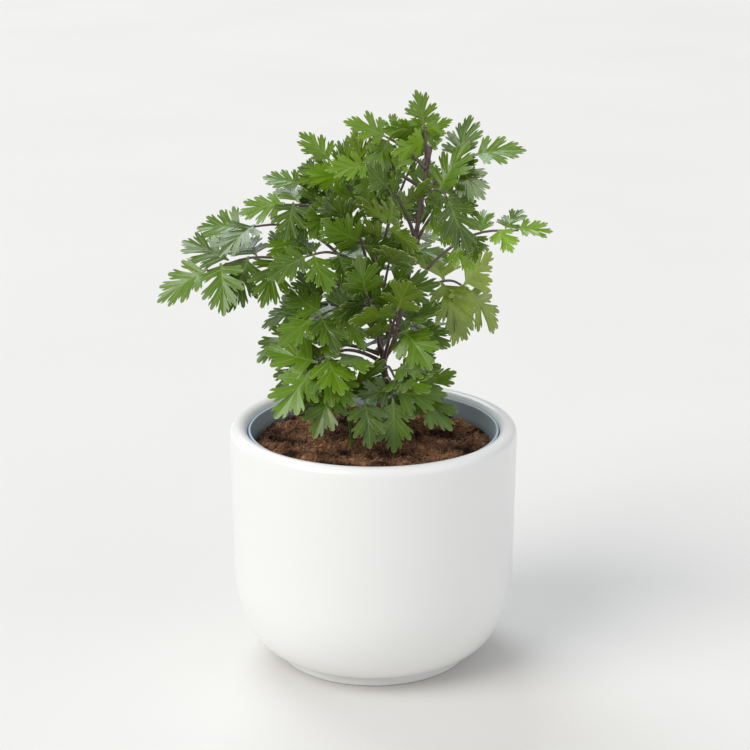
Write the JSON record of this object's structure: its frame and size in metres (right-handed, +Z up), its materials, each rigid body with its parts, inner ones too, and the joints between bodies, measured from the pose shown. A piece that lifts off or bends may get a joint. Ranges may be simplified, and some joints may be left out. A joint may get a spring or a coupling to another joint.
{
  "type": "potted plant",
  "caption": "Small aralia houseplant with lobed, parsley-like compound leaves on forked canes, in soil inside a round white ceramic cover pot with a nursery liner.",
  "frame": {"origin": "centre of the pot's foot, on the surface that it stands on", "axes": "+Z up the plant, -Y towards the front, +X to the right seen from the front"},
  "size_m": [0.1895, 0.14, 0.282],
  "materials": {
    "pot": "satin",
    "liner": "matte",
    "soil": "matte",
    "canes": "matte",
    "leaf_green": "satin",
    "leaf_young": "satin",
    "leaf_pale": "satin"
  },
  "bodies": {
    "root": {"pot": "pot", "liner": "liner", "soil": "soil", "canes": "canes", "leaf_left_long": "leaf_green", "leaf_left_upper": "leaf_green", "leaf_upper_left": "leaf_green", "leaf_upper_left_rear": "leaf_green", "leaf_upper_left_low": "leaf_green", "leaf_top_left": "leaf_young", "leaf_top_middle": "leaf_young", "leaf_top_inner": "leaf_young", "leaf_middle": "leaf_green", "leaf_crown_left": "leaf_young", "leaf_crown": "leaf_young", "leaf_crown_right": "leaf_young", "leaf_crown_low": "leaf_young", "leaf_upper_right": "leaf_green", "leaf_hanging_right": "leaf_green", "leaf_inner_right": "leaf_green", "leaf_rear_right": "leaf_young", "leaf_right_long": "leaf_young", "leaf_pale_right": "leaf_pale", "leaf_small_right": "leaf_green", "leaf_dark_middle": "leaf_green", "leaf_upright_middle": "leaf_green", "leaf_flat_left": "leaf_green", "leaf_flat_right": "leaf_green", "leaf_fan_left": "leaf_green", "leaf_fan_right": "leaf_green", "leaf_middle_left": "leaf_green", "leaf_low_left": "leaf_green", "leaf_low_left_rear": "leaf_green", "leaf_rear_left": "leaf_green", "leaf_low_right": "leaf_green", "leaf_middle_right": "leaf_green", "leaf_hanging_front": "leaf_green", "leaf_shoot_left": "leaf_green", "leaf_shoot_middle": "leaf_green", "leaf_rear_1": "leaf_green", "leaf_rear_2": "leaf_green", "leaf_rear_3": "leaf_green", "leaf_rear_4": "leaf_green", "leaf_rear_5": "leaf_green", "leaf_rear_6": "leaf_green", "leaf_rear_7": "leaf_green"}
  },
  "joints": []
}
